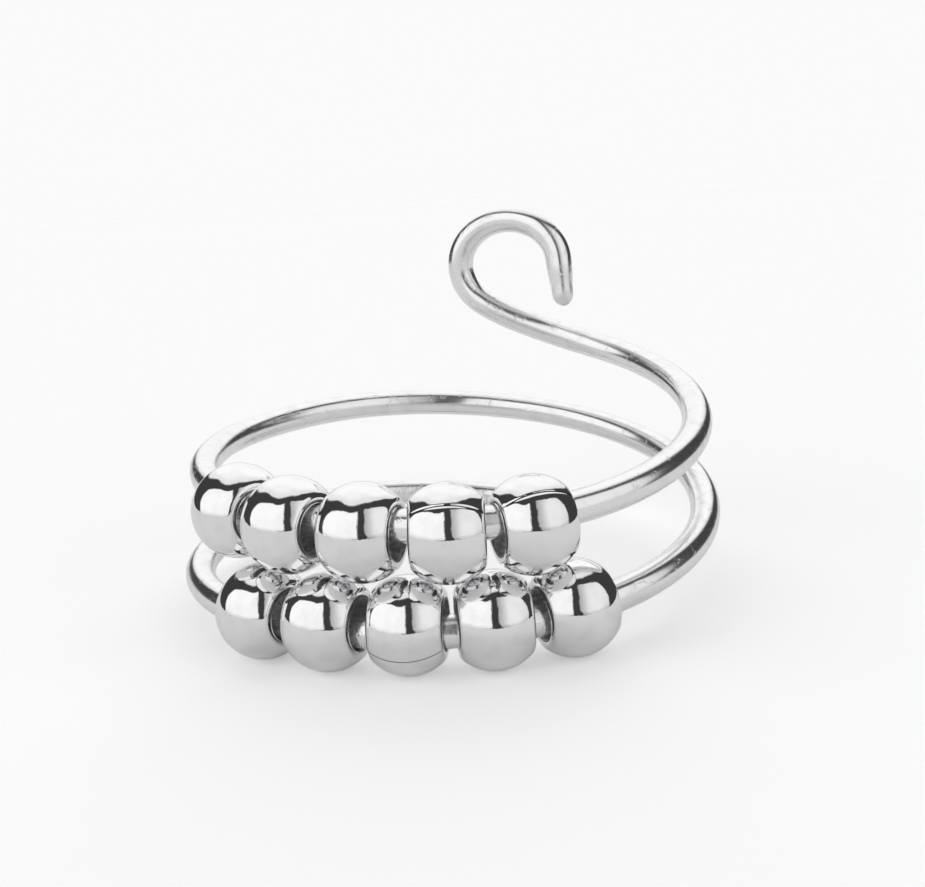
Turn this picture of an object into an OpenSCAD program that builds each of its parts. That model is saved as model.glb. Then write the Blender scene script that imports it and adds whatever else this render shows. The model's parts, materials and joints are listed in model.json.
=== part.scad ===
// Spinner ring: one round wire makes two turns round the finger and rises at
// the back into an open curl. Five short round beads are threaded on each turn,
// at the front, and spin on it. Sizes are in millimetres.
// +Z is up and -Y is the front. The origin is the middle of the finger hole, on
// the surface that the ring rests on with its lower beads and its lower end.

/* [Wire] */
// Diameter of the round wire
wire_d = 1.02; // [0.8:0.02:1.2]
// Diameter of the circle that the wire's middle line follows
ring_d = 17.74; // [15:0.1:22]

/* [Beads] */
// Diameter of a bead
bead_d = 3; // [2.6:0.05:3.4]
// Length of a bead along the wire
bead_len = 2.24; // [2:0.02:2.4]
// How much wider the hole through a bead is than the wire
bore_play = 0.58; // [0.5:0.02:0.7]
// Gap between the wire and the side of the hole that a bead hangs or rests on
wire_gap = 0.05; // [0.04:0.01:0.1]
// Radius that rounds the rim of a bead at its hole
rim_r = 0.3; // [0.2:0.01:0.34]
// Gap between neighbouring beads of one row
bead_gap = 0.05; // [0.04:0.01:0.1]
// Gap between the two rows of beads where they nest
row_gap = 0.07; // [0.05:0.01:0.3]
// Angle along the wire of the lower row's middle bead, in degrees, 270 being the front
lower_mid_angle = 261; // [255:0.2:270]
// Angle along the wire of the upper row's middle bead, in degrees, 630 being the front
upper_mid_angle = 613.2; // [605:0.2:625]

/* [Curl] */
// Width of the curl between the wire's middle lines
curl_w = 4.34; // [3.6:0.1:5]
// Height of the curl between the wire's middle lines
curl_h = 3.69; // [3.2:0.1:4.4]
// Height of the curl's middle above the place where the wire leaves the ring
curl_lift = 3.36; // [2.8:0.1:4.2]
// Straight length at the curl's tip
tip_len = 1.35; // [0.6:0.05:1.8]
// Turn of the curl towards the front at its right side, in degrees
curl_yaw_angle = 22; // [5:1:35]
// Lean of the curl to the back, in degrees
curl_lean_angle = 2.5; // [0:0.5:20]

/* [Hidden] */
$fn = 96;
silver = [0.82, 0.82, 0.84];
wire_r = wire_d / 2;
ring_r = ring_d / 2;
bead_r = bead_d / 2;
bore_r = (wire_d + bore_play) / 2;
// How far a bead's middle sits off the wire's middle line
bead_sag = bore_play / 2 - wire_gap;
half_len = bead_len / 2;
// The middle of the circle that rounds a bead's rim
rim_z = half_len - rim_r;
rim_x = sqrt(pow(bead_r - rim_r, 2) - pow(rim_z, 2));
// Where that circle meets the ball
ball_z = rim_z * bead_r / (bead_r - rim_r);
// Neighbouring beads are turned to each other, so their rims meet on the
// inside of the ring first. The lean of a bead to the line between two of
// them is half a step.
half_step = 1.09 * asin(half_len / ring_r);
half_space = rim_z * cos(half_step) + rim_x * sin(half_step) + rim_r + bead_gap / 2;
// The lower beads rest on the surface, so the wire lies low in their holes. The
// upper beads hang on it.
low_z = bead_r - bead_sag;
nest_h = sqrt(pow(bead_d + row_gap, 2) - pow(half_space, 2));
row_pitch = nest_h + 2 * bead_sag;
end_drop = (wire_r - low_z) / row_pitch;
// How far each bead has swung round in its wide hole, seen from above, from
// left to right in its row
upper_swing_angles = [3.5, 0, 0, 0, 0];
lower_swing_angles = [3, 0, 0, -4, -4];
// The wire's way round, from its lower end up: the angle, with 90 at the back,
// 180 at the left, 270 at the front and 360 at the right, then the distance
// from the axis as a share of the ring's radius, and the height over the lower
// row's wire as a share of the height between the rows.
stations = [
  [65, 1.000, end_drop],
  [110, 1.005, -0.025],
  [155, 1.020, 0.010],
  [200, 1.025, 0.000],
  [245, 1.010, 0.000],
  [290, 0.995, 0.025],
  [335, 1.010, 0.260],
  [380, 1.015, 0.650],
  [425, 1.000, 0.990],
  [470, 1.000, 1.170],
  [515, 0.985, 1.160],
  [560, 0.970, 1.085],
  [605, 1.000, 1.015],
  [650, 1.005, 1.005],
  [695, 0.990, 1.245],
  [740, 0.985, 1.640],
  [765, 0.990, 1.850]
];
last = len(stations) - 1;
// One ring of the swept wire every few degrees, each with this many corners
turn_step_angle = 5;
curl_steps = 20;
rise_steps = 9;
sides = 16;
// The curl: its middle, as an angle round the axis and a share of the radius,
// and the angles on it where the wire comes in and where the straight tip starts
curl_at_angle = 68.7;
curl_share = 0.901;
curl_in_angle = 230;
curl_out_angle = 6;
// How far the wire moves towards the front along the curl, over one radian
curl_drift = 0.12;
// How strongly the rise keeps to the ring and to the curl at its two ends
rise_pull = [1, 0.75];
// The wire's direction is taken between two points this far to either side
reach_angle = 4;

function unit(v) = v / norm(v);
function slope(i, k) =
  let (a = max(i - 1, 0), b = min(i + 1, last))
  (stations[b][k] - stations[a][k]) / (stations[b][0] - stations[a][0]);
function span(a, i = 0) = i >= last - 1 || a < stations[i + 1][0] ? i : span(a, i + 1);
// A smooth curve between two values with the slopes that it has there
function bend(s, p, m, q, n) =
  (2 * s * s * s - 3 * s * s + 1) * p + (s * s * s - 2 * s * s + s) * m
  + (3 * s * s - 2 * s * s * s) * q + (s * s * s - s * s) * n;
function share(a, k) =
  let (i = span(a), h = stations[i + 1][0] - stations[i][0], s = (a - stations[i][0]) / h)
  bend(s, stations[i][k], h * slope(i, k), stations[i + 1][k], h * slope(i + 1, k));
function on_turn(a) =
  let (r = ring_r * share(a, 1))
  [r * cos(a), r * sin(a), low_z + row_pitch * share(a, 2)];
function along_turn(a) = unit(on_turn(a + reach_angle) - on_turn(a - reach_angle));
// The step from a bead to the next one, where the wire's radius is known
function bead_step(a) = 2 * asin(half_space / (ring_r * share(a, 1)));
// Bead 3 is the middle one of its row
function bead_angle(mid, i) =
  i == 3 ? mid
  : i > 3 ? let (a = bead_angle(mid, i - 1)) a + bead_step(a + half_step)
  : let (a = bead_angle(mid, i + 1)) a - bead_step(a - half_step);

// The curl lies in a slanted plane: its right, its up and its front directions
curl_right = [cos(curl_yaw_angle), -sin(curl_yaw_angle), 0];
curl_back = [sin(curl_yaw_angle), cos(curl_yaw_angle), 0];
curl_up = sin(curl_lean_angle) * curl_back + [0, 0, cos(curl_lean_angle)];
curl_front = cross(curl_right, curl_up);
leave = on_turn(stations[last][0]);
leave_way = unit(leave - on_turn(stations[last][0] - 0.5));
curl_mid = [
  curl_share * ring_r * cos(curl_at_angle),
  curl_share * ring_r * sin(curl_at_angle),
  leave[2] + curl_lift
];
function on_curl(a) =
  curl_mid + curl_w / 2 * cos(a) * curl_right + curl_h / 2 * sin(a) * curl_up
  + curl_drift * (curl_in_angle - a) * PI / 180 * curl_front;
function along_curl(a) =
  unit(curl_w / 2 * sin(a) * curl_right - curl_h / 2 * cos(a) * curl_up
    + curl_drift * curl_front);
enter = on_curl(curl_in_angle);
rise_len = norm(enter - leave);
function on_rise(s) =
  bend(s, leave, rise_pull[0] * rise_len * leave_way,
    enter, rise_pull[1] * rise_len * along_curl(curl_in_angle));

curl_end = on_curl(curl_out_angle);
tip_end = curl_end + tip_len * along_curl(curl_out_angle);
line = concat(
  [for (a = [stations[0][0]:turn_step_angle:stations[last][0]]) on_turn(a)],
  [for (i = [1:rise_steps - 1]) on_rise(i / rise_steps)],
  [for (i = [0:curl_steps])
    on_curl(curl_in_angle + (curl_out_angle - curl_in_angle) * i / curl_steps)],
  [(curl_end + tip_end) / 2, tip_end]
);
count = len(line);
ways = [for (i = [0:count - 1])
  unit(line[min(i + 1, count - 1)] - line[max(i - 1, 0)])];
function carry(n, t) = unit(n - (n * t) * t);
// A side direction carried along the wire without twist
first_side = unit(cross(ways[0], [0, 0, 1]));
side_ways = [for (i = 0, n = first_side; i < count;
  n = i + 1 < count ? carry(n, ways[i + 1]) : n, i = i + 1) n];
// Both ends are rounded: smaller rings and one point past each end
cap_angles = [60, 30];
function hoop(p, t, n, r) =
  let (b = cross(t, n))
  [for (k = [0:sides - 1]) p + r * (cos(360 * k / sides) * n + sin(360 * k / sides) * b)];
hoops = concat(
  [for (c = cap_angles)
    hoop(line[0] - wire_r * sin(c) * ways[0], ways[0], side_ways[0], wire_r * cos(c))],
  [for (i = [0:count - 1]) hoop(line[i], ways[i], side_ways[i], wire_r)],
  [for (c = [cap_angles[1], cap_angles[0]])
    hoop(line[count - 1] + wire_r * sin(c) * ways[count - 1], ways[count - 1],
      side_ways[count - 1], wire_r * cos(c))]
);
wire_points = concat(
  [for (h = hoops) each h],
  [line[0] - wire_r * ways[0], line[count - 1] + wire_r * ways[count - 1]]
);
rows = len(hoops);
low_tip = rows * sides;
high_tip = low_tip + 1;
wire_faces = concat(
  [for (j = [0:rows - 2], k = [0:sides - 1])
    [j * sides + k, (j + 1) * sides + k, j * sides + (k + 1) % sides]],
  [for (j = [0:rows - 2], k = [0:sides - 1])
    [j * sides + (k + 1) % sides, (j + 1) * sides + k, (j + 1) * sides + (k + 1) % sides]],
  [for (k = [0:sides - 1]) [low_tip, k, (k + 1) % sides]],
  [for (k = [0:sides - 1])
    [high_tip, (rows - 1) * sides + (k + 1) % sides, (rows - 1) * sides + k]]
);

module wire() {
  color(silver)
    polyhedron(points = wire_points, faces = wire_faces, convexity = 12);
}

// A ball cut flat at both ends, with a wide hole and a rounded rim
module bead_shape() {
  rotate_extrude()
    difference() {
      union() {
        intersection() {
          circle(r = bead_r);
          translate([0, -ball_z])
            square([bead_r, 2 * ball_z]);
        }
        translate([0, -half_len])
          square([rim_x, bead_len]);
        for (side = [-1, 1])
          translate([rim_x, side * rim_z])
            circle(r = rim_r);
      }
      translate([-bead_d, -bead_d])
        square([bead_d + bore_r, 2 * bead_d]);
    }
}

// The bead's hole follows the wire, with its middle off the wire's middle line.
// The wire bows outwards in the hole, so the bead sits in the middle of the bow.
module bead_at(a, height, swing) {
  mid = (2 * on_turn(a) + on_turn(a - reach_angle) + on_turn(a + reach_angle)) / 4;
  way = along_turn(a);
  color(silver)
    translate([mid[0], mid[1], height])
      rotate([0, acos(way[2]), atan2(way[1], way[0]) + swing])
        bead_shape();
}

module upper_bead(i) {
  a = bead_angle(upper_mid_angle, i);
  bead_at(a, on_turn(a)[2] - bead_sag, upper_swing_angles[i - 1]);
}

module lower_bead(i) {
  bead_at(bead_angle(lower_mid_angle, i), bead_r, lower_swing_angles[i - 1]);
}

module bead_upper_1() { upper_bead(1); }
module bead_upper_2() { upper_bead(2); }
module bead_upper_3() { upper_bead(3); }
module bead_upper_4() { upper_bead(4); }
module bead_upper_5() { upper_bead(5); }
module bead_lower_1() { lower_bead(1); }
module bead_lower_2() { lower_bead(2); }
module bead_lower_3() { lower_bead(3); }
module bead_lower_4() { lower_bead(4); }
module bead_lower_5() { lower_bead(5); }

wire();
bead_upper_1();
bead_upper_2();
bead_upper_3();
bead_upper_4();
bead_upper_5();
bead_lower_1();
bead_lower_2();
bead_lower_3();
bead_lower_4();
bead_lower_5();
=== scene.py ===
# %% [markdown]
# # A spinner ring in polished silver
#
# One length of round wire goes twice round the finger and ends in an open curl.
# Ten short round beads spin on it, five on each turn. The exact solids come from the
# packed part. This lesson gives them a finer surface and a silver finish, a floor and
# the light of a studio tent. Sizes are written in millimetres, and MM turns them into
# metres where a mesh, a finish or the camera takes them.

# %% Load the frame
import json
import math

import bpy
import numpy as np
from mathutils import Matrix, Vector


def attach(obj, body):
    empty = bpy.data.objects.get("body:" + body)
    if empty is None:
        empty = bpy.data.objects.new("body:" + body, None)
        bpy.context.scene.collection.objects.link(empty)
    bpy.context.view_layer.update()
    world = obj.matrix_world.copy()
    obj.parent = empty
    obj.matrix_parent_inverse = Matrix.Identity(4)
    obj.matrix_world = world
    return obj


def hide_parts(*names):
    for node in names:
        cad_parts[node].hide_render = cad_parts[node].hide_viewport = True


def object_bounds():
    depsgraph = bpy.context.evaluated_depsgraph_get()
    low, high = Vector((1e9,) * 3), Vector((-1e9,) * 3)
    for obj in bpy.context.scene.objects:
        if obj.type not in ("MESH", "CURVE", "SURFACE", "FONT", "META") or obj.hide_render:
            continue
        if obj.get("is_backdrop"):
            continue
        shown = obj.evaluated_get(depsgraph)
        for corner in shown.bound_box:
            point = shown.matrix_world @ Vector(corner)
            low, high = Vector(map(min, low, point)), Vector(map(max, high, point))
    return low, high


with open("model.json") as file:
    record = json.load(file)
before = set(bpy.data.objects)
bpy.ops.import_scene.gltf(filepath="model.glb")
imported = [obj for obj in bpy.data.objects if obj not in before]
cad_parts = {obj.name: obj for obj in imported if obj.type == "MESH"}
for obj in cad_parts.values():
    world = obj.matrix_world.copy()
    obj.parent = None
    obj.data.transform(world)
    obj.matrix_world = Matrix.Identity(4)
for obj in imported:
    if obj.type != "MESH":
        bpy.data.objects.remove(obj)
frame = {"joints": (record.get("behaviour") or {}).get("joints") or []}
cad_low, cad_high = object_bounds()
MM = 0.001

# %% [markdown]
# ## The camera
#
# The ring is small and the picture is taken from close by, so the front of the ring
# looks much larger than its back. Only the true distance gives that, so the lens is
# chosen for the distance and not the other way round. The camera is also turned a
# little about its own line of sight. Where beads face each other they mirror their
# mirror images, so light is followed through more mirrors than usual. Otherwise the
# gaps between the beads would turn black.

# %% Set up the camera
SENSOR_W = 36.0
PICTURE_W = 925
FOCAL_IN_PIXELS = 1229.8
MIRRORS_FOLLOWED = 12
aim = Vector((0.497, 0, 4.974)) * MM
camera_distance = 44.07 * MM
camera_height = math.radians(12.1)
camera_turn = math.radians(-3.334)

back = Vector((0, -math.cos(camera_height), math.sin(camera_height)))
level_right = Vector((1, 0, 0))
level_up = back.cross(level_right)
right = level_right * math.cos(camera_turn) + level_up * math.sin(camera_turn)
up = back.cross(right)
camera_data = bpy.data.cameras.new("camera")
camera_data.sensor_width = SENSOR_W
camera_data.lens = SENSOR_W * FOCAL_IN_PIXELS / PICTURE_W
camera_data.clip_start, camera_data.clip_end = 1 * MM, 5000 * MM
camera = bpy.data.objects.new("camera", camera_data)
bpy.context.scene.collection.objects.link(camera)
camera.matrix_world = Matrix.Translation(aim + back * camera_distance) @ Matrix(
    (right, up, back)).transposed().to_4x4()
bpy.context.scene.camera = camera
bpy.context.scene.view_settings.view_transform = "Standard"
bpy.context.scene.cycles.glossy_bounces = MIRRORS_FOLLOWED
print("lens:", round(camera_data.lens, 2), "mm")

# %% [markdown]
# ## Writing shaders as sums
#
# A finish is a sum of small effects: a wave here, a scratch there. Its nodes could be
# placed and joined by hand in the shader editor, but the tent alone has nearly a hundred
# of them, which nobody can read. Arithmetic can be read, so a small class stands for one
# output of a node and turns + - * into Math nodes.

# %% A socket that can be added and multiplied
class Value:
    """One output of a node, for use in sums."""

    def __init__(self, graph, socket):
        self.graph, self.socket = graph, socket

    def maths(self, operation, *terms):
        return self.graph.node("ShaderNodeMath", {"operation": operation}, dict(enumerate(terms)))

    def __add__(self, other):
        return self.maths("ADD", self, other)

    def __sub__(self, other):
        return self.maths("SUBTRACT", self, other)

    def __rsub__(self, other):
        return self.maths("SUBTRACT", other, self)

    def __mul__(self, other):
        return self.maths("MULTIPLY", self, other)

    def __abs__(self):
        return self.maths("ABSOLUTE", self)

    def root(self):
        return self.maths("SQRT", self)

    def at_least(self, low):
        return self.maths("MAXIMUM", self, low)

    def at_most(self, high):
        return self.maths("MINIMUM", self, high)

    __radd__, __rmul__ = __add__, __mul__


print("signs that add a Math node: + - *")

# %% [markdown]
# Every other node comes from one method, which takes the node's type, its settings and
# what goes into its sockets. Below it are the steps that the tent and the finishes use
# again and again: a soft step, a soft band, a stretched place, a distance along a way,
# clouds of noise and a blend of two colours.

# %% A graph that makes its own nodes
class Graph:
    """The nodes of one material or world."""

    def __init__(self, owner):
        owner.use_nodes = True
        self.tree = owner.node_tree
        self.tree.nodes.clear()

    def node(self, kind, settings=None, sockets=None, output=0):
        made = self.tree.nodes.new(kind)
        for name, value in (settings or {}).items():
            setattr(made, name, value)
        for name, value in (sockets or {}).items():
            if isinstance(value, Value):
                self.tree.links.new(value.socket, made.inputs[name])
            else:
                made.inputs[name].default_value = value
        return Value(self, made.outputs[output]) if len(made.outputs) else made

    def ease(self, value, low, high):
        """0 below low, 1 above high, and smooth between them."""
        return self.node("ShaderNodeMapRange", {"interpolation_type": "SMOOTHSTEP"},
                         {"Value": value, "From Min": low, "From Max": high})

    def band(self, value, low, high, soft):
        """1 between low and high, 0 outside, with soft edges."""
        rise = self.ease(value, low - soft, low + soft)
        return rise * (1 - self.ease(value, high - soft, high + soft))

    def stretch(self, vector, scale):
        """The vector with each of its three parts scaled by its own number."""
        return self.node("ShaderNodeVectorMath", {"operation": "MULTIPLY"}, {0: vector, 1: scale})

    def along(self, vector, way):
        """How far the vector goes along a way."""
        return self.node("ShaderNodeVectorMath", {"operation": "DOT_PRODUCT"},
                         {0: vector, 1: way}, output=1)

    def noise(self, vector, scale, detail=2.0):
        """Soft clouds round 0.5; detail adds finer clouds to them."""
        return self.node("ShaderNodeTexNoise", {},
                         {"Vector": vector, "Scale": scale, "Detail": detail})

    def mix(self, factor, first, second):
        """The first colour where factor is 0 and the second where it is 1."""
        return self.node("ShaderNodeMix", {"data_type": "RGBA"},
                         {"Factor": factor, 6: first, 7: second}, output=2)


print("steps in a graph:", [name for name in vars(Graph) if not name.startswith("_")])

# %% [markdown]
# ## The studio tent
#
# Polished silver shows almost nothing of its own. It shows what is round it, so the
# tent matters as much as the metal. Lamps would give it hard bright spots, so the tent
# is drawn on the sky instead. A mirror ball shows what lies in front in its middle and
# what lies behind at its rim: each direction shows at the place half way between it and
# the onlooker's. So the tent is drawn in half-way directions, where its edges are
# simple. There 0 is the middle of a bead, and 1 is its rim.

# %% Find the half-way directions
FRONT_HEIGHT = math.radians(16.5)
front_way = (0, -math.cos(FRONT_HEIGHT), math.sin(FRONT_HEIGHT))
over_way = (0, math.sin(FRONT_HEIGHT), math.cos(FRONT_HEIGHT))

world = bpy.data.worlds.new("tent")
bpy.context.scene.world = world
tent = Graph(world)
towards = tent.node("ShaderNodeTexCoord")
half_way = tent.node("ShaderNodeVectorMath", {"operation": "ADD"}, {0: towards, 1: front_way})
half_way = tent.node("ShaderNodeVectorMath", {"operation": "NORMALIZE"}, {0: half_way})
across = tent.along(half_way, (1, 0, 0))
upward = tent.along(half_way, over_way)
inward = tent.along(half_way, front_way)
height = tent.along(towards, (0, 0, 1))
print("front direction:", [round(c, 3) for c in front_way])

# %% [markdown]
# A bright wall with round upper corners stands in front. A dark gap runs over it, and a
# bright sheet hangs beyond the gap and sags a little left of the middle. At either side
# the wall ends at a dark column, and beyond the columns the cloth is bright again.
# Cloth is never quite straight, so all these edges wave.

# %% Hang the wall and the sheet
WAVE, WAVE_SCALE, SIDE_WAVE = 0.14, 2.0, 0.4
EDGE = 0.012
WALL_TOP, WALL_SIDE, WALL_SHIFT, WALL_CORNER = 0.44, 0.70, -0.03, 0.30
SHEET_FOOT, SHEET_LIFT, LIFT_FROM, LIFT_TO = 0.58, 0.06, 0.20, 0.55
SAG_AT, SAG_REACH, SAG_DEPTH = -0.13, 0.34, 0.05
COLUMN_OUT = 0.76

wave = (tent.noise(towards, WAVE_SCALE, detail=0.6) - 0.5) * WAVE
sag = 1 - tent.ease(abs(across - SAG_AT), 0, SAG_REACH)
raised = upward + wave + sag * SAG_DEPTH
over_sheet = raised - tent.ease(abs(across), LIFT_FROM, LIFT_TO) * SHEET_LIFT
sheet = tent.ease(over_sheet, SHEET_FOOT - 2 * EDGE, SHEET_FOOT + 2 * EDGE)
beyond_side = (abs(across - WALL_SHIFT) - (WALL_SIDE - WALL_CORNER)).at_least(0)
beyond_top = (raised - (WALL_TOP - WALL_CORNER)).at_least(0)
beyond = (beyond_side * beyond_side + beyond_top * beyond_top).root()
wall = 1 - tent.ease(beyond, WALL_CORNER - EDGE, WALL_CORNER + EDGE)
past_column = tent.ease(1 - inward + wave * SIDE_WAVE, COLUMN_OUT - 2 * EDGE, COLUMN_OUT + 2 * EDGE)
print("wall top:", WALL_TOP, "sheet foot:", SHEET_FOOT)

# %% [markdown]
# The wall is two cloths that leave a dark slit between them. The slit grows wider to
# the right at its foot. Beside the slit the cloths stop just short of the floor, so a
# low dark skirt shows there.

# %% Cut the slit
SLIT_AT, SLIT_HALF_WIDTH, SLIT_FOOT, FOOT_LOW, FOOT_HEIGHT = 0.02, 0.060, 0.030, 0.02, 0.22
SKIRT_REACH, SKIRT_HEIGHT = 0.34, 0.035

foot = 1 - tent.ease(height, FOOT_LOW, FOOT_HEIGHT)
beside_slit = across - SLIT_AT - wave * SIDE_WAVE - foot * SLIT_FOOT
slit = 1 - tent.ease(abs(beside_slit) - (SLIT_HALF_WIDTH + foot * SLIT_FOOT), -EDGE, 2 * EDGE)
skirt = 1 - tent.ease(abs(across - SLIT_AT), 0, SKIRT_REACH)
skirt = skirt * (1 - tent.ease(height, 0, SKIRT_HEIGHT))
bright = (wall * (1 - slit) * (1 - skirt) + sheet + past_column).at_most(1)
print("slit half width:", SLIT_HALF_WIDTH)

# %% [markdown]
# White cloth has soft folds, so it isn't one white. The right-hand wall is the duller
# one, above all beside the slit and at its far edge. The foot of the sheet and the foot
# of the walls are dull as well. Last, where the camera itself looks past the ring it
# sees the floor's own tone, so that no horizon shows.

# %% Shade the cloth and light the tent
TENT_WHITE = (1.12, 1.12, 1.12, 1)
TENT_FOLD = (1.05, 1.05, 1.05, 1)
TENT_GREY = (0.50, 0.50, 0.50, 1)
TENT_DARK = (0.050, 0.050, 0.052, 1)
FLOOR_TONE = (0.956, 0.956, 0.956, 1)
FOLD_SCALE, FOLD_STRETCH, FOLD_EDGES = 2.2, (1.0, 1.0, 0.5), (0.35, 0.65)
DULL_WALL, DULL_BY_SLIT, DULL_BY_EDGE = 0.28, 0.7, 0.3
SLIT_SHADE_REACH, EDGE_SHADE = 0.30, (0.45, 0.80)
DULL_FOOT, SHEET_SHADE, WALL_SHADE = 0.4, 0.16, 0.14

folds = tent.noise(tent.stretch(towards, FOLD_STRETCH), FOLD_SCALE, detail=0.0)
folds = tent.ease(folds, *FOLD_EDGES)
cloth = tent.mix(folds, TENT_FOLD, TENT_WHITE)
by_slit = 1 - tent.ease(beside_slit, SLIT_HALF_WIDTH, SLIT_SHADE_REACH)
by_edge = tent.ease(across, *EDGE_SHADE)
right_wall = tent.ease(beside_slit, 0, EDGE) * wall
dull_wall = right_wall * (DULL_WALL + by_slit * DULL_BY_SLIT + by_edge * DULL_BY_EDGE)
sheet_foot = tent.band(over_sheet, SHEET_FOOT, SHEET_FOOT + SHEET_SHADE / 2, SHEET_SHADE / 2)
wall_foot = 1 - tent.ease(height, 0, WALL_SHADE)
dull = (dull_wall + sheet_foot * DULL_FOOT + wall_foot * DULL_FOOT).at_most(1)
tone = tent.mix(bright, TENT_DARK, tent.mix(dull, cloth, TENT_GREY))
tone = tent.mix(tent.node("ShaderNodeLightPath"), tone, FLOOR_TONE)
sky = tent.node("ShaderNodeBackground", {}, {"Color": tone, "Strength": 1.0})
tent.node("ShaderNodeOutputWorld", {}, {"Surface": sky})
print("tent nodes:", len(tent.tree.nodes))

# %% [markdown]
# ## The floor
#
# A plain pale disc, matt and large enough to reach the horizon, where a square would
# show its corners from some sides. It sits a hair below the beads, which rest on it.
# Product pictures have their ground whitened afterwards, while the silver still shows
# the ground as it was. So the disc glows faintly, and more for the camera than for the
# silver, which keeps the shadows soft and pale.

# %% Lay the floor
FLOOR_R, FLOOR_DROP = 900 * MM, 0.01 * MM
FLOOR_EDGES = 96
FLOOR_WHITE = (0.95, 0.95, 0.95, 1)
FLOOR_GLOW, WHITENED_GLOW = (0.05, 0.05, 0.05, 1), (0.29, 0.29, 0.29, 1)
edge = [(FLOOR_R * math.cos(a), FLOOR_R * math.sin(a), 0)
        for a in np.linspace(0, 2 * math.pi, FLOOR_EDGES, endpoint=False)]
floor_mesh = bpy.data.meshes.new("floor")
floor_mesh.from_pydata(edge, [], [list(range(FLOOR_EDGES))])
floor = bpy.data.objects.new("floor", floor_mesh)
bpy.context.scene.collection.objects.link(floor)
floor.location.z = -FLOOR_DROP
floor_paint = bpy.data.materials.new("floor_paint")
paint = Graph(floor_paint)
glow = paint.mix(paint.node("ShaderNodeLightPath"), FLOOR_GLOW, WHITENED_GLOW)
matt = paint.node("ShaderNodeBsdfPrincipled", {}, {
    "Base Color": FLOOR_WHITE, "Roughness": 0.8, "Specular IOR Level": 0.0,
    "Emission Color": glow, "Emission Strength": 1.0})
paint.node("ShaderNodeOutputMaterial", {}, {"Surface": matt})
floor_mesh.materials.append(floor_paint)
floor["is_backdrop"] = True
print("floor radius:", FLOOR_R, "m")

# %% [markdown]
# ## The silver
#
# Beads and wire are polished to a mirror, but by hand and in a tumbler. So the surface
# still rolls a little, which bends what it shows. It keeps hairline scratches, small
# nicks and a few tiny pits, and a breath of tarnish lies on it in clouds. Modelling
# such marks would take millions of faces, so they are a relief in microns that the
# light alone feels, while every shape that can be seen is in the mesh. The scales are
# counts per metre: noise of scale 1000 gives clouds about a millimetre wide.

# %% Mix the silver
SILVER, SILVER_GREY = (0.86, 0.86, 0.864, 1), (0.80, 0.80, 0.806, 1)
MICRON = 0.001 * MM
ROLL_SCALE, CLOUD_SCALE, PIT_SCALE, NICK_SCALE, GRAIN_SCALE = 700, 1600, 2600, 3200, 11000
HAIRLINE_EDGES, NICK_EDGES, PIT_EDGES = (0.62, 0.75), (0.59, 0.65), (0.05, 0.16)
PITTED_CLOUDS, TARNISHED_CLOUDS, DULL_CLOUDS = (0.55, 0.65), (0.45, 0.75), (0.50, 0.80)
HAIRLINE_ROUGHNESS, CLOUD_ROUGHNESS = 0.05, 0.04
HAIRLINE_DEPTH, PIT_DEPTH = 0.12, 2.0


def worked_silver(g, place, grain_stretch, polish, roll_depth, nick_depth):
    """Colour, roughness and relief in microns; grain_stretch lays the hairlines."""
    clouds = g.noise(place, CLOUD_SCALE, detail=4.0)
    hairlines = g.noise(g.stretch(place, grain_stretch), scale=1.0, detail=3.0)
    hairlines = g.ease(hairlines, *HAIRLINE_EDGES)
    nicks = g.ease(g.noise(place, NICK_SCALE, detail=3.0), *NICK_EDGES)
    spots = g.node("ShaderNodeTexVoronoi", {}, {"Vector": place, "Scale": PIT_SCALE})
    pits = (1 - g.ease(spots, *PIT_EDGES)) * g.ease(clouds, *PITTED_CLOUDS)
    colour = g.mix(g.ease(clouds, *TARNISHED_CLOUDS), SILVER, SILVER_GREY)
    roughness = polish + hairlines * HAIRLINE_ROUGHNESS
    roughness = roughness + g.ease(clouds, *DULL_CLOUDS) * CLOUD_ROUGHNESS
    relief = g.noise(place, ROLL_SCALE, detail=1.0) * roll_depth
    relief = relief + g.noise(place, GRAIN_SCALE, detail=1.0)
    relief = relief - hairlines * HAIRLINE_DEPTH - pits * PIT_DEPTH - nicks * nick_depth
    return colour, roughness, relief


def join_finish(g, colour, metal, roughness, relief):
    """One shader from the parts of a finish."""
    bump = g.node("ShaderNodeBump", {}, {"Height": relief, "Distance": MICRON, "Strength": 1.0})
    shader = g.node("ShaderNodeBsdfPrincipled", {}, {
        "Base Color": colour, "Metallic": metal, "Roughness": roughness, "Normal": bump})
    g.node("ShaderNodeOutputMaterial", {}, {"Surface": shader})


print("silver:", SILVER[:3])

# %% [markdown]
# A bead spins on the wire, so its hairlines run round it. No polish reaches into its
# hole: the silver there stays dull and dark, with pale flecks where it is scraped. Dirt
# stays in its seam and draws a dark line. Hole and seam could have materials of their
# own, but those would begin hard at the edge of a face. Here one finish fades into both
# and finds them by the bead's own axes: the hole runs along Z, and the seam runs beside
# it on the side of X.

# %% Finish the beads
WIRE_D, BORE_PLAY = 1.02, 0.58
ROUND_GRAIN, BEAD_POLISH = (900, 900, 30000), 0.035
HOLE_GREY, HOLE_PALE = (0.55, 0.55, 0.555, 1), (0.95, 0.95, 0.955, 1)
FLECK_SCALE, FLECK_EDGES, HOLE_EDGES = 5000, (0.40, 0.62), (1.004, 1.02)
HOLE_ROUGHNESS, HOLE_DULLNESS = 0.45, 0.8
SEAM_GREY = (0.14, 0.14, 0.146, 1)
SEAM_LINE, SEAM_BEYOND_HOLE = (0.008, 0.026), (1.25, 1.35)

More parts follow.
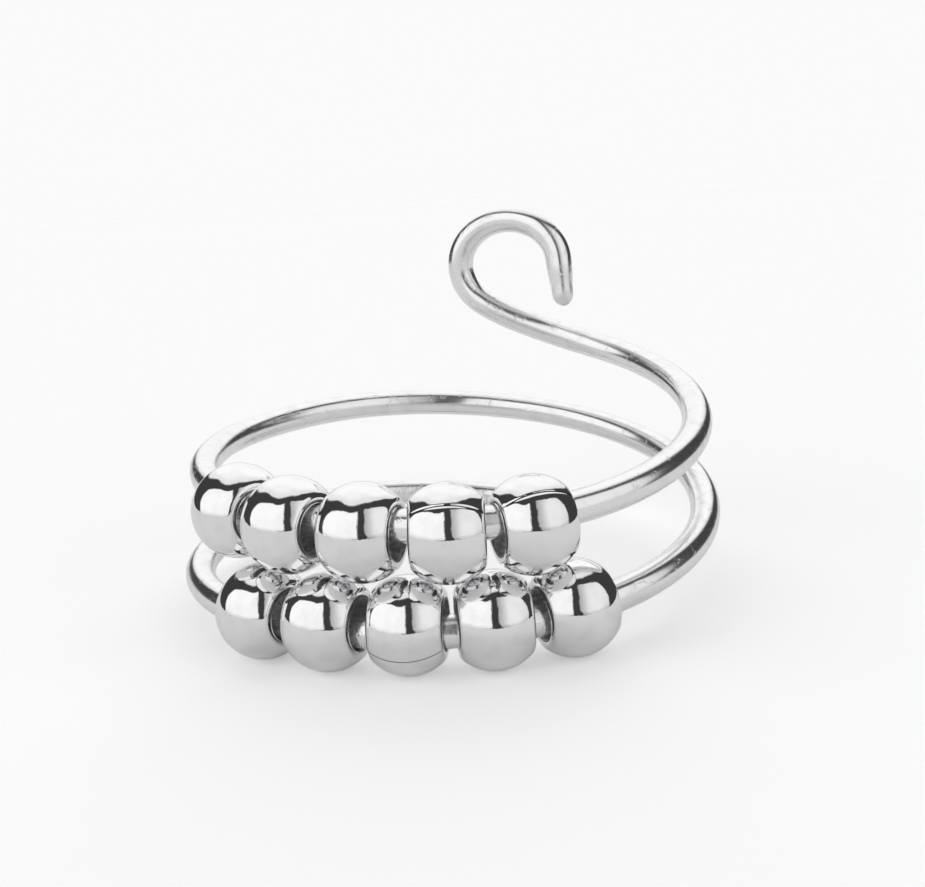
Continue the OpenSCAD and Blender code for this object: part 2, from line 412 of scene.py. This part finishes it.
bore_r = (WIRE_D + BORE_PLAY) / 2
bead_silver = bpy.data.materials.new("bead_silver")
g = Graph(bead_silver)
place = g.node("ShaderNodeTexCoord", output=3)
colour, roughness, relief = worked_silver(
    g, place, ROUND_GRAIN, BEAD_POLISH, roll_depth=22, nick_depth=0.15)
from_axis = g.node("ShaderNodeVectorMath", {"operation": "LENGTH"},
                   {0: g.stretch(place, (1, 1, 0))}, output=1)
inside = 1 - g.ease(from_axis, *(bore_r * part * MM for part in HOLE_EDGES))
scraped = g.mix(g.ease(g.noise(place, FLECK_SCALE), *FLECK_EDGES), HOLE_GREY, HOLE_PALE)
colour = g.mix(inside, colour, scraped)
to_seam, from_seam = g.along(place, (1, 0, 0)), abs(g.along(place, (0, 1, 0)))
in_seam = 1 - g.ease(from_seam, *(width * MM for width in SEAM_LINE))
in_seam = in_seam * g.ease(to_seam, *(bore_r * part * MM for part in SEAM_BEYOND_HOLE))
colour = g.mix(in_seam, colour, SEAM_GREY)
join_finish(g, colour, 1 - inside * HOLE_DULLNESS, roughness + inside * HOLE_ROUGHNESS, relief)
print("finish:", bead_silver.name, "nodes:", len(g.tree.nodes))

# %% [markdown]
# ## The two rows
#
# The beads set the height between the two turns. Neighbours in a row are turned to each
# other, because the row is bent, so their rims all but meet on the inside. The lower
# beads lie in the dips between the upper ones. They rest on the floor, with the wire low
# in their holes, and the upper ones hang from the wire. These heights could be read off
# the picture, but worked out from the beads' own sizes they leave a small gap everywhere,
# and no bead cuts into another.

# %% Space the rows
BEAD_D, BEAD_LEN, RIM_R = 3.0, 2.24, 0.3
RING_D, BEAD_SPREAD = 17.74, 1.09
ROW_GAP, BEAD_GAP, WIRE_GAP = 0.07, 0.05, 0.05
wire_r, ring_r, bead_r, half_len = WIRE_D / 2, RING_D / 2, BEAD_D / 2, BEAD_LEN / 2
rim_z = half_len - RIM_R
rim_x = math.sqrt((bead_r - RIM_R) ** 2 - rim_z ** 2)
half_step = BEAD_SPREAD * math.asin(half_len / ring_r)
half_space = rim_z * math.cos(half_step) + rim_x * math.sin(half_step) + RIM_R + BEAD_GAP / 2
bead_sag = BORE_PLAY / 2 - WIRE_GAP
low_z = bead_r - bead_sag
row_pitch = math.sqrt((BEAD_D + ROW_GAP) ** 2 - half_space ** 2) + 2 * bead_sag
print("lower turn:", round(low_z, 2), "mm up, upper turn:", round(row_pitch, 2), "mm above it")

# %% [markdown]
# ## The wire's road
#
# The wire is bent by hand round a mandrel, so its turns aren't a true helix. Its road
# is given by a few stations: the angle round the finger, the distance from the finger's
# axis as a share of the ring's radius, and the height as a share of the height between
# the rows. Smooth curves join the stations. The road could be drawn by eye as a Bezier
# curve, but the same sizes and stations shape the solid, so this finer wire covers it.
# Its lower end drops until it lies on the floor.

# %% Draw the road
ROAD_STEP = 1.5
end_drop = (wire_r - low_z) / row_pitch
STATIONS = np.array([
    (65, 1.000, end_drop), (110, 1.005, -0.025), (155, 1.020, 0.010), (200, 1.025, 0.000),
    (245, 1.010, 0.000), (290, 0.995, 0.025), (335, 1.010, 0.260), (380, 1.015, 0.650),
    (425, 1.000, 0.990), (470, 1.000, 1.170), (515, 0.985, 1.160), (560, 0.970, 1.085),
    (605, 1.000, 1.015), (650, 1.005, 1.005), (695, 0.990, 1.245), (740, 0.985, 1.640),
    (765, 0.990, 1.850)])


def smooth(s, p, m, q, n):
    """A cubic from p to q that leaves with slope m and arrives with slope n."""
    return ((2 * s ** 3 - 3 * s ** 2 + 1) * p + (s ** 3 - 2 * s ** 2 + s) * m
            + (3 * s ** 2 - 2 * s ** 3) * q + (s ** 3 - s ** 2) * n)


def share(angle, column):
    """What the stations give at an angle, for the radius or for the height."""
    t, v = STATIONS[:, 0], STATIONS[:, column]
    i = int(np.clip(np.searchsorted(t, angle, side="right") - 1, 0, len(t) - 2))
    low, high = [max(i - 1, 0), i], [i + 1, min(i + 2, len(t) - 1)]
    step = t[i + 1] - t[i]
    m = step * (v[high[0]] - v[low[0]]) / (t[high[0]] - t[low[0]])
    n = step * (v[high[1]] - v[low[1]]) / (t[high[1]] - t[low[1]])
    return smooth((angle - t[i]) / step, v[i], m, v[i + 1], n)


def on_turn(angle):
    """The wire's middle at an angle round the finger."""
    r, a = ring_r * share(angle, 1), math.radians(angle)
    return np.array([r * math.cos(a), r * math.sin(a), low_z + row_pitch * share(angle, 2)])


turn_start, turn_end = STATIONS[0, 0], STATIONS[-1, 0]
turns = [on_turn(a) for a in np.arange(turn_start, turn_end, ROAD_STEP)]
print("points on the two turns:", len(turns))

# %% [markdown]
# ## The curl
#
# At the back the wire leaves the turn, rises and is rolled into an open loop on round
# pliers, with a short straight tip. A loop turns back on itself, so the angle round the
# finger can't place it as it does the turns. It gets a plane of its own instead, turned
# and leaning as the loop is.

# %% Place the curl
CURL_AT, CURL_SHARE, CURL_LIFT = 68.7, 0.901, 3.36
CURL_YAW, CURL_LEAN = 22, 2.5
HALF_DEGREE = 0.5


def unit(v):
    """The way that v points, with a length of 1."""
    return v / np.linalg.norm(v)


yaw, lean, at = (math.radians(a) for a in (CURL_YAW, CURL_LEAN, CURL_AT))
curl_right = np.array([math.cos(yaw), -math.sin(yaw), 0])
curl_back = np.array([math.sin(yaw), math.cos(yaw), 0])
curl_up = math.sin(lean) * curl_back + np.array([0, 0, math.cos(lean)])
curl_front = np.cross(curl_right, curl_up)
leave = on_turn(turn_end)
leave_way = unit(leave - on_turn(turn_end - HALF_DEGREE))
curl_mid = np.array([CURL_SHARE * ring_r * math.cos(at), CURL_SHARE * ring_r * math.sin(at),
                     leave[2] + CURL_LIFT])
print("middle of the curl:", curl_mid.round(2), "mm")

# %% [markdown]
# In its plane the loop is a flattened circle. It also drifts slightly towards the
# front, so that the tip clears the rise. The rise is one smooth curve from the turn's
# last station into the loop.

# %% Roll the curl
CURL_W, CURL_H, TIP_LEN = 4.34, 3.69, 1.35
CURL_IN, CURL_OUT, CURL_DRIFT, RISE_EASE = 230, 6, 0.12, 0.75
RISE_STEPS, LOOP_STEPS, TIP_STEPS = 25, 64, 7


def on_curl(angle):
    """The wire's middle at an angle round the loop."""
    a = math.radians(angle)
    return (curl_mid + CURL_W / 2 * math.cos(a) * curl_right + CURL_H / 2 * math.sin(a) * curl_up
            + CURL_DRIFT * math.radians(CURL_IN - angle) * curl_front)


def along_curl(angle):
    """The way the wire runs there."""
    a = math.radians(angle)
    return unit(CURL_W / 2 * math.sin(a) * curl_right - CURL_H / 2 * math.cos(a) * curl_up
                + CURL_DRIFT * curl_front)


enter, rise_len = on_curl(CURL_IN), np.linalg.norm(on_curl(CURL_IN) - leave)
enter_slope = RISE_EASE * rise_len * along_curl(CURL_IN)
rise = [smooth(s, leave, rise_len * leave_way, enter, enter_slope)
        for s in np.linspace(0, 1, RISE_STEPS)[1:-1]]
loop = [on_curl(a) for a in np.linspace(CURL_IN, CURL_OUT, LOOP_STEPS)]
tip = [loop[-1] + s * TIP_LEN * along_curl(CURL_OUT) for s in np.linspace(0, 1, TIP_STEPS)[1:]]
road = np.array(turns + rise + loop + tip)
road_len = float(np.linalg.norm(np.diff(road, axis=0), axis=1).sum())
print("wire length:", round(road_len, 1), "mm")

# %% [markdown]
# ## Sweeping the wire
#
# The wire is one round rod, and both its ends are filed a little slimmer and round. A
# curve with a round bevel would be shorter to write, but here each point also has to
# store where it lay on the straight wire before bending. So the mesh is made point by
# point, with two helpers. One carries a side along the road without twisting, and the
# other gives the radius near a filed end.

# %% Carry the sides and file the ends
END_FILED, END_SLIMMER = 1.2, 0.09


def carried(ways):
    """A side for each way along the road, turned no more than the road turns."""
    n = unit(np.cross(ways[0], (0, 0, 1)))
    sides = [n]
    for way in ways[1:]:
        n = unit(n - (n @ way) * way)
        sides.append(n)
    return sides


def filed_radius(radius, to_end):
    """The wire's radius at a distance from its end."""
    s = float(np.clip(1 - to_end / END_FILED, 0, 1))
    return radius - END_SLIMMER * s * s * (3 - 2 * s)


print("wire:", WIRE_D, "mm thick, at its ends:", round(2 * filed_radius(wire_r, 0), 2), "mm")

# %% [markdown]
# Hoops of points stand across the road, and smaller ones round off both ends. Faces with
# four corners join each hoop to the next, and a single point closes each end.

# %% Sweep the wire
SIDES = 40
END_RINGS = 8


def sweep_wire(name, road, radius):
    """A closed round wire along the road, with rounded ends."""
    ways = [unit(road[min(i + 1, len(road) - 1)] - road[max(i - 1, 0)]) for i in range(len(road))]
    sides = carried(ways)
    length = np.concatenate([[0], np.cumsum(np.linalg.norm(np.diff(road, axis=0), axis=1))])
    to_end = np.minimum(length, length[-1] - length)
    hoops = [(road[i], ways[i], sides[i], filed_radius(radius, to_end[i]), length[i])
             for i in range(len(road))]
    caps = [math.radians(a) for a in np.linspace(90, 0, END_RINGS, endpoint=False)[1:]]
    first, last = hoops[0], hoops[-1]
    start = [(first[0] - radius * math.sin(a) * first[1], first[1], first[2],
              first[3] * math.cos(a), -radius * math.sin(a)) for a in caps]
    stop = [(last[0] + radius * math.sin(a) * last[1], last[1], last[2],
             last[3] * math.cos(a), last[4] + radius * math.sin(a)) for a in reversed(caps)]
    hoops = start + hoops + stop
    points, drawn, faces = [], [], []
    for p, way, side, r, along in hoops:
        across = np.cross(way, side)
        for k in range(SIDES):
            a = 2 * math.pi * k / SIDES
            points.append((p + r * (math.cos(a) * side + math.sin(a) * across)) * MM)
            drawn.append((along * MM, radius * math.cos(a) * MM, radius * math.sin(a) * MM))
    for j in range(len(hoops) - 1):
        for k in range(SIDES):
            a, b = j * SIDES + k, j * SIDES + (k + 1) % SIDES
            faces.append((a, b, b + SIDES, a + SIDES))
    for end, way in ((first, -1), (last, 1)):
        points.append((end[0] + way * radius * end[1]) * MM)
        drawn.append(((end[4] + way * radius) * MM, 0, 0))
    low, high, base = len(points) - 2, len(points) - 1, (len(hoops) - 1) * SIDES
    faces += [(low, (k + 1) % SIDES, k) for k in range(SIDES)]
    faces += [(high, base + k, base + (k + 1) % SIDES) for k in range(SIDES)]
    mesh = bpy.data.meshes.new(name)
    mesh.from_pydata(points, [], faces)
    mesh.attributes.new("drawn", "FLOAT_VECTOR", "POINT").data.foreach_set(
        "vector", np.array(drawn, np.float32).ravel())
    mesh.polygons.foreach_set("use_smooth", [True] * len(faces))
    made = bpy.data.objects.new(name, mesh)
    bpy.context.scene.collection.objects.link(made)
    return made


silver_wire = sweep_wire("silver_wire", road, wire_r)
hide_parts("wire")
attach(silver_wire, "wire")
print("wire faces:", len(silver_wire.data.polygons))

# %% [markdown]
# The wire was pulled through a die, bent with pliers and handled, so its shine is softer
# than the beads', it has long hairlines and its nicks are deeper. The filed ends are
# duller still. Measured in the room, the hairlines would run straight on where the wire
# bends. So the finish reads where each point lay on the straight wire.

# %% Finish the wire
LONG_GRAIN, WIRE_POLISH = (300, 16000, 16000), 0.19
FILED_ROUGHNESS, FILED_REACH = 0.22, 1.0

wire_silver = bpy.data.materials.new("wire_silver")
g = Graph(wire_silver)
place = g.node("ShaderNodeAttribute", {"attribute_name": "drawn"}, output=1)
colour, roughness, relief = worked_silver(
    g, place, LONG_GRAIN, WIRE_POLISH, roll_depth=12, nick_depth=4.0)
from_middle = abs(g.along(place, (1, 0, 0)) - road_len / 2 * MM)
filed_from = road_len / 2 - END_FILED / 2
filed = g.ease(from_middle, filed_from * MM, (filed_from + FILED_REACH) * MM)
join_finish(g, colour, 1, roughness + filed * FILED_ROUGHNESS, relief)
silver_wire.data.materials.append(wire_silver)
print("finish:", wire_silver.name, "nodes:", len(g.tree.nodes))

# %% [markdown]
# ## The beads
#
# A bead is a ball, cut flat at both ends, with a wide hole for the wire and with rims
# that are rounded so that they don't scratch it. The hole could be cut from a ball with a
# Boolean modifier, but that leaves ragged triangles at the rim, and a mirror shows them.
# So the bead is made as on a lathe. Its outline is one arc of the ball, two small arcs at
# the rims and a straight line through the hole.

# %% Draw the bead's outline
BALL_POINTS, RIM_POINTS, HOLE_POINTS = 49, 15, 13
rim_lean = math.atan2(rim_z, rim_x)
rim_stop = math.acos((bore_r - rim_x) / RIM_R)
ball = [(bead_r * math.cos(a), bead_r * math.sin(a))
        for a in np.linspace(-rim_lean, rim_lean, BALL_POINTS)]
rim = [(rim_x + RIM_R * math.cos(a), rim_z + RIM_R * math.sin(a))
       for a in np.linspace(rim_lean, rim_stop, RIM_POINTS)[1:]]
hole = [(bore_r, h) for h in np.linspace(rim[-1][1], -rim[-1][1], HOLE_POINTS)[1:-1]]
outline = ball + rim + hole + [(r, -h) for r, h in reversed(rim)]
print("points in the outline:", len(outline))

# %% [markdown]
# A fine seam runs from hole to hole, where such a bead is soldered shut. It is a groove
# hardly more than a hundredth of a millimetre deep, but in a mirror it shows as two
# bright lines. A dark stripe alone would lie flat in the shine, so the groove is in the
# mesh. The steps round the bead are set closer there to give it a round shape, and there
# are many all round, because a mirror shows every flat.

# %% Space the steps and sink the seam
TURN_STEPS, SEAM_STEPS = 128, 14
SEAM_HALF_WIDTH = math.radians(3.4)
SEAM_DEPTH = 0.013

seam_angles = np.linspace(-SEAM_HALF_WIDTH, SEAM_HALF_WIDTH, SEAM_STEPS, endpoint=False)
plain_angles = np.linspace(SEAM_HALF_WIDTH, 2 * math.pi - SEAM_HALF_WIDTH, TURN_STEPS,
                           endpoint=False)
turn_angles = np.concatenate([seam_angles, plain_angles])


def seam_sink(angle, height):
    """How deep the seam is here: nothing beside it and nothing at the bead's ends."""
    if abs(angle) >= SEAM_HALF_WIDTH:
        return 0
    fade = max(0, 1 - (height / half_len) ** 4)
    return SEAM_DEPTH * fade * math.cos(math.pi / 2 * angle / SEAM_HALF_WIDTH) ** 2


print("steps round a bead:", len(turn_angles), "seam:", seam_sink(0, 0), "mm deep")

# %% [markdown]
# Turned about the hole, the outline gives the bead. All ten could share one mesh, but
# they have spun freely, and each has its seam somewhere else. So each is a mesh of its
# own on the axis of its hinge. At rest only three seams show from the front.

# %% Turn the beads
SEAM_AT = {"bead_upper_4": 47, "bead_upper_5": 52, "bead_lower_3": -25}
HIDDEN_SEAM_AT, HIDDEN_SEAM_STEP = 150, 9
HOLE_MARGIN = 0.01


def turned_bead(name, place, axis, seam_height):
    """A bead on its axis, with its seam at a height round the hole."""
    count = len(outline)
    points = []
    for a in turn_angles:
        for r, h in outline:
            sunk = r - seam_sink(a, h) * (r > bore_r + HOLE_MARGIN)
            points.append((sunk * math.cos(a) * MM, sunk * math.sin(a) * MM, h * MM))
    faces = []
    for i in range(len(turn_angles)):
        for j in range(count):
            a, b = i * count + j, i * count + (j + 1) % count
            c, d = (a + count) % len(points), (b + count) % len(points)
            faces.append((a, c, d, b))
    mesh = bpy.data.meshes.new(name)
    mesh.from_pydata(points, [], faces)
    mesh.polygons.foreach_set("use_smooth", [True] * len(faces))
    made = bpy.data.objects.new(name, mesh)
    bpy.context.scene.collection.objects.link(made)
    up_way = (Vector((0, 0, 1)) - axis * axis.z).normalized()
    seam_way = axis.cross(up_way) * math.cos(seam_height) + up_way * math.sin(seam_height)
    made.matrix_world = Matrix.Translation(place) @ Matrix(
        (seam_way, axis.cross(seam_way), axis)).transposed().to_4x4()
    made.data.materials.append(bead_silver)
    return made


for number, joint in enumerate(frame["joints"]):
    node = joint["child"]
    seam_height = math.radians(SEAM_AT.get(node, HIDDEN_SEAM_AT + HIDDEN_SEAM_STEP * number))
    bead = turned_bead("silver_" + node, Vector(joint["pos_m"]), Vector(joint["axis"]), seam_height)
    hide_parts(node)
    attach(bead, node)

# %% [markdown]
# ## Sizes
#
# The finer surfaces must fill the same box as the solids, so how much their box has grown
# over the solids' box is printed. The beads are measured here by the corners of their
# own slanted boxes, which reach up to 0.7 mm further than the beads themselves.

# %% Measure the growth
new_low, new_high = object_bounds()
growth = (new_high - new_low) - (cad_high - cad_low)
print("grown by mm:", [round(side / MM, 3) for side in growth])
